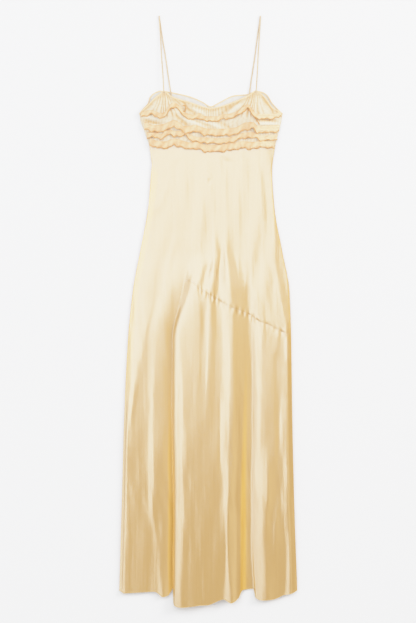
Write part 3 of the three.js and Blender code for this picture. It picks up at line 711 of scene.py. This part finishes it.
def edge_turn(name, corners):
    """A stretch of turned-back ruffle edge on the bodice."""
    corners = np.array(corners, float)
    t = np.linspace(0, len(corners) - 1, 60)
    steps = np.arange(len(corners), dtype=float)
    x, y = smooth_line(steps, corners[:, 0])(t), smooth_line(steps, corners[:, 1])(t)
    z = bodice_height(x, y) + gather_height(x, y) + 1.0 + TURN_RISE * np.sin(math.pi * t / t[-1])
    return tube(name, np.stack([x, y, z], -1), TURN_TALL, TURN_WIDE, sides=8, level=False)


# ---- straps ----
STRAPS = [  # name, x of the tip, front end, back end
    ("strap_rouleau_left", -123, (-111, 546), (-92.5, 538)),
    ("strap_rouleau_right", 130.5, (119.5, 547), (101.5, 534)),
]
STRAP_WIDTH, STRAP_THICK = 3.2, 1.6
STRAP_GAP = 0.6  # between the strap's two lengths at its tip
STRAP_SEAT = 1.6  # height of its front end over the plain bodice
STRAP_STEPS, TURN_STEPS = 60, 7


def strap(name, tip, front, back):
    """A strap from its front end over its tip, at x = tip, to its back end."""
    half = STRAP_THICK / 2
    upper = half * 3 + STRAP_GAP
    radius = (upper - half) / 2
    seat_front = float(bodice_height(np.float64(front[0]), np.float64(front[1]))) + STRAP_SEAT + half
    seat_back = BACK_TOP + GAP + half
    turn_y = LENGTH / 2 - radius - half
    t = np.linspace(0, 1, STRAP_STEPS)
    sway = 0.35 * np.sin(9 * t) * np.sin(math.pi * t)
    first = np.stack([mix(front[0], tip, t) + sway, mix(front[1], turn_y, t),
                      mix(seat_front, upper, np.minimum(1, t * 1.4) ** 0.6)], -1)
    angle = math.pi / 2 - math.pi * np.arange(1, TURN_STEPS + 1) / (TURN_STEPS + 1)
    turn = np.stack([np.full(TURN_STEPS, tip), turn_y + radius * np.cos(angle),
                     (upper + half) / 2 + radius * np.sin(angle)], -1)
    climb = np.clip((t - 0.75) / 0.15, 0, 1)
    last = np.stack([mix(tip, back[0], t) - sway, mix(turn_y, back[1], t), mix(half, seat_back, climb)], -1)
    path = np.concatenate([first, turn, last])
    width = STRAP_WIDTH * (1 + 0.05 * np.sin(np.arange(len(path)) * 1.7))
    return tube(name, path, width, STRAP_THICK)


# ---- trims: fine edges that follow the cloth ----
BINDING_TALL, BINDING_WIDE = 0.9, 3.4
HEM_TALL, HEM_WIDE = 1.5, 1.3


def neck_binding(name, neck, lift):
    """The bound edge along neck, at height lift, or on the gathered front if lift is None."""
    t = np.linspace(0, 1, 300)
    x, y, fade = bodice_points(t, np.ones(t.shape), neck)
    if lift is None:
        z = bodice_height(x, y) + fade * gather_height(x, y) + 0.2
    else:
        z = np.full(t.shape, lift)
    return tube(name, np.stack([x, y - 0.8, z], -1), BINDING_TALL, BINDING_WIDE, sides=8, level=False)


HEM_GAP = 0.05  # from a hem roll's ends to those of its piece, in lines


def hem_roll(name, u0, u1):
    """The rolled hem from line u0 to line u1."""
    us = np.linspace(u0, u1, 500)
    y = hem_at(us) + 0.6
    path = skirt_points(us, y)
    return tube(name, path - [0, 0, 0.3], HEM_TALL, HEM_WIDE, sides=8, level=False)


# ---- materials ----
SHADE_FROM, SHADE_TO = 0.3, 0.7  # a blend runs from its first colour to its second between these
SATIN_THREAD, CHIFFON_THREAD, TWIST = 0.0005, 0.0006, 0.0009  # pitches, in metres


def srgb(*c):
    """A colour of 0 to 255 as Blender's linear one."""
    lin = [v / 255 / 12.92 if v <= 10 else ((v / 255 + 0.055) / 1.055) ** 2.4 for v in c]
    return (*lin, 1.0)


class Material:
    """A Principled material with short names for its nodes."""

    def __init__(self, name):
        self.mat = bpy.data.materials.new(name)
        self.mat.use_nodes = True
        self.tree = self.mat.node_tree
        self.shader = self.tree.nodes["Principled BSDF"]

    def node(self, kind, **values):
        n = self.tree.nodes.new(kind)
        for key, value in values.items():
            if key in n.inputs:
                n.inputs[key].default_value = value
            else:
                setattr(n, key, value)
        return n

    def link(self, a, b):
        self.tree.links.new(a, b)

    def set(self, **values):
        for key, value in values.items():
            self.shader.inputs[key.replace("_", " ")].default_value = value

    def object_space(self, scale):
        place = self.node("ShaderNodeTexCoord")
        stretch = self.node("ShaderNodeMapping")
        stretch.inputs["Scale"].default_value = scale
        self.link(place.outputs["Object"], stretch.inputs["Vector"])
        return stretch.outputs["Vector"]

    def noise(self, scale, detail=3.0, rough=0.5):
        n = self.node("ShaderNodeTexNoise", Scale=1.0, Detail=detail, Roughness=rough)
        self.link(self.object_space(scale), n.inputs["Vector"])
        return n.outputs["Fac"]

    def threads(self, pitch, angle):
        """Fine parallel threads pitch apart, turned by angle in the cloth's plane."""
        place = self.node("ShaderNodeTexCoord")
        turn = self.node("ShaderNodeMapping")
        turn.inputs["Rotation"].default_value = (0, 0, angle)
        self.link(place.outputs["Object"], turn.inputs["Vector"])
        wave = self.node("ShaderNodeTexWave", Scale=0.314 / pitch, Distortion=0.6, Detail=1.0)
        wave.inputs["Detail Scale"].default_value = 2.0
        self.link(turn.outputs["Vector"], wave.inputs["Vector"])
        return wave.outputs["Fac"]

    def blend_colour(self, factor, a, b):
        ramp = self.node("ShaderNodeValToRGB")
        ramp.color_ramp.elements[0].color = a
        ramp.color_ramp.elements[0].position = SHADE_FROM
        ramp.color_ramp.elements[1].color = b
        ramp.color_ramp.elements[1].position = SHADE_TO
        self.link(factor, ramp.inputs["Fac"])
        return ramp.outputs["Color"]

    def colour(self, socket):
        self.link(socket, self.shader.inputs["Base Color"])

    def bump(self, *layers):
        """Stacks (height, distance) bumps into the shader's normal."""
        normal = None
        for height, distance in layers:
            n = self.node("ShaderNodeBump", Strength=1.0, Distance=distance)
            self.link(height, n.inputs["Height"])
            if normal:
                self.link(normal, n.inputs["Normal"])
            normal = n.outputs["Normal"]
        self.link(normal, self.shader.inputs["Normal"])


SATIN_IOR = 3.0  # the gloss of packed filament yarn, far over that of plain cloth
TINTED_FROM = 0.6  # where the painted shade is over this, the gloss takes on the cloth's own colour: a painted warm reflection between folds


def satin(name, light, deep, metal, rough):
    """Glossy cloth; its attribute "shade" is painted shade, deep in a fold, which turns its colour to deep
    and tints its gloss with it.
    """
    m = Material(name)
    shade = m.node("ShaderNodeAttribute", attribute_name="shade").outputs["Fac"]
    m.colour(m.blend_colour(shade, light, deep))
    painted_reflection = m.node("ShaderNodeMapRange")
    for socket, value in (("From Min", TINTED_FROM), ("From Max", 1.0), ("To Max", metal)):
        painted_reflection.inputs[socket].default_value = value
    m.link(shade, painted_reflection.inputs["Value"])
    m.link(painted_reflection.outputs["Result"], m.shader.inputs["Metallic"])
    m.set(Roughness=rough, IOR=SATIN_IOR)
    m.set(Sheen_Weight=0.08, Sheen_Roughness=0.4, Sheen_Tint=srgb(255, 244, 214))
    # from fine to coarse: the bias threads, streaks down the cloth and its broad unevenness
    m.bump((m.threads(SATIN_THREAD, math.radians(45)), 0.00002),
           (m.noise((240, 8, 240), 3, 0.55), 0.00016), (m.noise((75, 3.5, 75), 2, 0.5), 0.0007))
    return m.mat


CRUMPLE = 0.34  # how far a noise from 0 to 1 moves the blend of crinkled cloth


def chiffon(name, light, deep, alpha):
    """Sheer crinkled cloth; its attribute "shade" says where it looks deeper: where it lies doubled, and on
    the bodice painted shade in creases and troughs and painted light on ridges.
    """
    m = Material(name)
    shade = m.node("ShaderNodeAttribute", attribute_name="shade").outputs["Fac"]
    crumple = m.node("ShaderNodeMath", operation="MULTIPLY_ADD")
    m.link(m.noise((130, 210, 130), 3, 0.6), crumple.inputs[0])
    crumple.inputs[1].default_value = CRUMPLE
    m.link(shade, crumple.inputs[2])
    m.colour(m.blend_colour(crumple.outputs["Value"], light, deep))
    m.set(Roughness=0.75, Alpha=alpha)
    m.set(Sheen_Weight=0.3, Sheen_Roughness=0.5, Sheen_Tint=srgb(255, 246, 228))
    m.bump((m.threads(CHIFFON_THREAD, 0.0), 0.00006), (m.threads(CHIFFON_THREAD, math.pi / 2), 0.00006),
           (m.noise((500, 90, 500), 2), 0.0002))
    return m.mat


def thread(name, light, deep):
    """Wound thread or fine binding, with the lines of its twist."""
    m = Material(name)
    lean = math.radians(60)
    m.colour(m.blend_colour(m.threads(TWIST, lean), light, deep))
    m.set(Roughness=0.6)
    m.bump((m.threads(TWIST, lean), 0.00006))
    return m.mat


# The satin's deep colour is painted shade and painted reflection for the skirt's valleys and sides.
SATIN = satin("satin", srgb(203, 159, 85), srgb(226, 168, 40), 0.35, 0.22)
SATIN_BACK = satin("satin_back", srgb(203, 159, 88), srgb(214, 156, 52), 0.0, 0.36)
# The gathered chiffon's deep colour is doubled cloth in part and painted shade in part.
GATHERED = chiffon("gathered_chiffon", srgb(243, 229, 205), srgb(222, 180, 132), 0.93)
SHEER = chiffon("sheer_back", srgb(252, 247, 238), srgb(246, 240, 230), 0.6)
RUFFLE = chiffon("ruffle_chiffon", srgb(243, 214, 176), srgb(228, 172, 124), 0.96)
EDGE = thread("overlock_thread", srgb(228, 176, 118), srgb(198, 140, 84))
BINDING = thread("neck_binding", srgb(244, 214, 178), srgb(234, 196, 152))
ROULEAU = satin("rouleau", srgb(194, 156, 100), srgb(184, 144, 88), 0.0, 0.4)
HEM = thread("hem_thread", srgb(232, 205, 150), srgb(214, 180, 118))


def finish(obj, material, slot, *nodes):
    """Gives a piece its material and body, and hides the solids it stands for. Its slot is not used."""
    obj.data.materials.append(material)
    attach(obj, "root")
    if nodes:
        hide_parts(*nodes)
    return obj


# ---- camera: straight above, from far off through a long lens ----
VIEW_TALL = 1.5575  # metres of the surface that the image's height takes in
VIEW_X, VIEW_Y = -0.0006, -0.0012  # what the image's middle shows
LENS, SENSOR = 100.0, 36.0
DRESS_MIDDLE = 0.01  # height that the lens is set for
camera = bpy.data.objects.new("camera", bpy.data.cameras.new("camera"))
camera.data.lens, camera.data.sensor_width = LENS, SENSOR
CAMERA_HEIGHT = VIEW_TALL * LENS / SENSOR
camera.location = (VIEW_X, VIEW_Y, CAMERA_HEIGHT + DRESS_MIDDLE)
camera.data.clip_end = 50
bpy.context.scene.collection.objects.link(camera)
bpy.context.scene.camera = camera

# ---- the dress ----
front_main = finish(skirt_front_main(), SATIN, "satin", "skirt_front_main")
front_inset = finish(skirt_front_inset(), SATIN, "satin", "skirt_front_inset")
back = finish(skirt_back(), SATIN_BACK, "satin_back", "skirt_back")
CUP_COLUMNS, CENTRE_COLUMNS = 160, 300
cup_left = finish(
    bodice_front("cup_left", 0, PRINCESS[0], CUP_COLUMNS), GATHERED, "sheer_gathered", "bodice_cup_left")
centre = finish(
    bodice_front("centre", *PRINCESS, CENTRE_COLUMNS), GATHERED, "sheer_gathered", "bodice_centre")
cup_right = finish(
    bodice_front("cup_right", PRINCESS[1], 1, CUP_COLUMNS), GATHERED, "sheer_gathered", "bodice_cup_right")
sheer_back = finish(bodice_back(), SHEER, "sheer_back", "bodice_back")
bands = [finish(ruffle(k), RUFFLE, "ruffle", node) for k, node in enumerate(
    ["ruffle_1_bust", "ruffle_2", "ruffle_3", "ruffle_4_hem"])]
edges = [finish(ruffle_thread(k), EDGE, "ruffle") for k in range(4)]
turns = [finish(edge_turn(*e), EDGE, "ruffle") for e in EDGE_TURNS]
straps = [finish(strap(*row), ROULEAU, "strap", node)
          for row, node in zip(STRAPS, ["strap_left", "strap_right"])]
bind_front = finish(neck_binding("neck_binding_front", front_neck, None), BINDING, "sheer_gathered")
bind_back = finish(neck_binding("neck_binding_back", back_neck, 1.1), BINDING, "sheer_back")
hem_main = finish(hem_roll("hem_roll_main", HEM_GAP, LEFT_VALLEY - HEM_GAP), HEM, "satin")
hem_inset = finish(
    hem_roll("hem_roll_inset", LEFT_VALLEY + HEM_GAP, LAST_LINE - HEM_GAP), HEM, "satin")

# ---- surface and light ----
floor_mesh = bpy.data.meshes.new("floor")
FLOOR_HALF = 20  # metres
floor_corners = [(x * FLOOR_HALF, y * FLOOR_HALF, 0) for x, y in ((-1, -1), (1, -1), (1, 1), (-1, 1))]
floor_mesh.from_pydata(floor_corners, [], [(0, 1, 2, 3)])
floor = bpy.data.objects.new("floor", floor_mesh)
floor.location.z = -0.0005
bpy.context.scene.collection.objects.link(floor)
paper = Material("paper")
paper.set(Base_Color=(0.95, 0.94, 0.945, 1), Roughness=0.9)
floor_mesh.materials.append(paper.mat)


def softbox(name, place, target, size, radiance, colour=(1, 1, 1)):
    """A rectangular light at place that faces target; radiance is how bright its surface looks."""
    data = bpy.data.lights.new(name, "AREA")
    data.shape = "RECTANGLE"
    data.size, data.size_y = size
    data.energy = radiance * math.pi * size[0] * size[1]
    data.color = colour
    lamp = bpy.data.objects.new(name, data)
    lamp.location = place
    lamp.rotation_mode = "QUATERNION"
    lamp.rotation_quaternion = (Vector(target) - Vector(place)).to_track_quat("-Z", "Y")
    lamp.visible_camera = False
    bpy.context.scene.collection.objects.link(lamp)
    return lamp


LIGHT_HEIGHT = 4.7
# Seen from above, a level point at x, y mirrors the light plane near 2x, 2y, a slope that faces left
# mirrors what is further left, and one that faces right what is further right.
softbox("top_box", (-1.6, 2.8, LIGHT_HEIGHT), (-1.6, 2.8, 0), (5.8, 6), 2.3, (0.94, 0.99, 1.02))
softbox("top_right_box", (4.4, 3.2, LIGHT_HEIGHT), (4.4, 3.2, 0), (6.0, 5.2), 1.0)
softbox("left_box", (-3.1, -0.65, LIGHT_HEIGHT), (-3.1, -0.65, 0), (4.4, 0.9), 2.3)
softbox("left_low_box", (-3.1, -2.9, LIGHT_HEIGHT), (-3.1, -2.9, 0), (4.4, 3.6), 0.82)
softbox("right_fill", (4.1, -1.4, LIGHT_HEIGHT), (4.1, -1.4, 0), (4.4, 4), 0.62, (1.0, 0.83, 0.57))
softbox("left_wall", (-5.6, -0.9, 2.6), (0, -0.9, 0), (7.6, 3.2), 1.5)
softbox("low_wall", (0, -6.2, 2.2), (0, -1.0, 0), (8, 2.6), 1.2)
key = softbox("key", (4.4, 1.9, 2.6), (0, 0, 0), (2.0, 2.0), 14.0, (1.0, 0.985, 0.97))
key.visible_glossy = False  # it casts the soft shadow and isn't mirrored in the satin
world = bpy.data.worlds.new("studio")
world.use_nodes = True
world.node_tree.nodes["Background"].inputs["Color"].default_value = (0.93, 0.96, 1.0, 1)
world.node_tree.nodes["Background"].inputs["Strength"].default_value = 0.27
bpy.context.scene.world = world

# A photographic tone curve: straight in the shadows and mid tones, with a soft shoulder.
TONE = [(0.5, 0.5), (0.7, 0.665), (0.9, 0.79), (1.1, 0.865), (1.35, 0.915)]  # light, shown
TONE_WHITE, SHOWN_WHITE = 2.0, 0.985
look = bpy.context.scene.view_settings
look.view_transform = "Standard"
look.use_curve_mapping = True
look.curve_mapping.white_level = (TONE_WHITE,) * 3
for scene_light, shown in TONE:
    look.curve_mapping.curves[3].points.new(scene_light / TONE_WHITE, shown)
look.curve_mapping.curves[3].points[-1].location = (1.0, SHOWN_WHITE)
look.curve_mapping.update()
